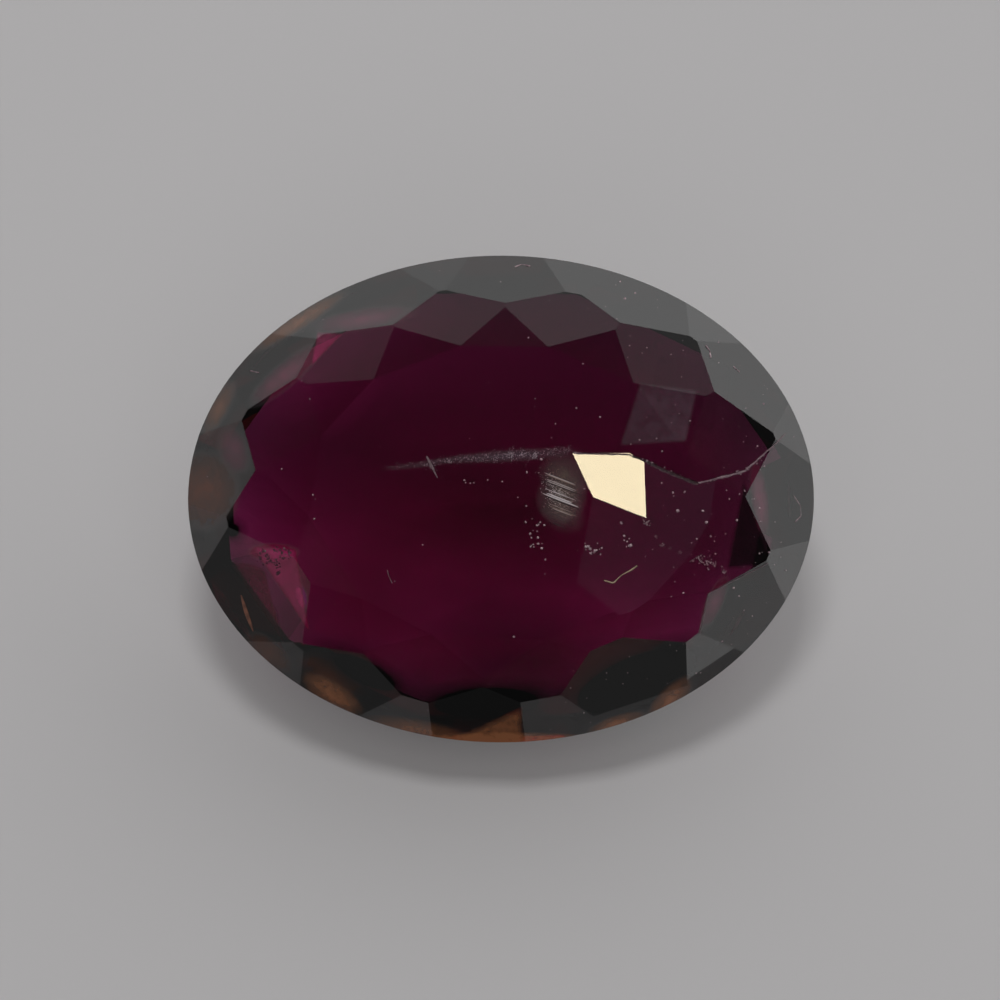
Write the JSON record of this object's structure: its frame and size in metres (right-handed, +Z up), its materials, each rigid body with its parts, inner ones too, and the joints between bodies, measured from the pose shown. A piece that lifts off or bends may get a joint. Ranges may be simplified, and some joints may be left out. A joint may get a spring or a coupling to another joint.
{
  "type": "faceted oval gemstone",
  "caption": "Loose oval-cut rubellite tourmaline with a brilliant crown, a flake scar on its table and a stepped, full-bellied pavilion, lying tipped on one pavilion facet.",
  "frame": {"origin": "middle of the stone's footprint, on the ground under it", "axes": "+X along the oval's length, -Y the way the tipped table faces, +Z up"},
  "size_m": [0.009, 0.0064, 0.0042],
  "materials": {
    "rubellite": "polished"
  },
  "bodies": {
    "root": {"rubellite": "rubellite"}
  },
  "joints": []
}
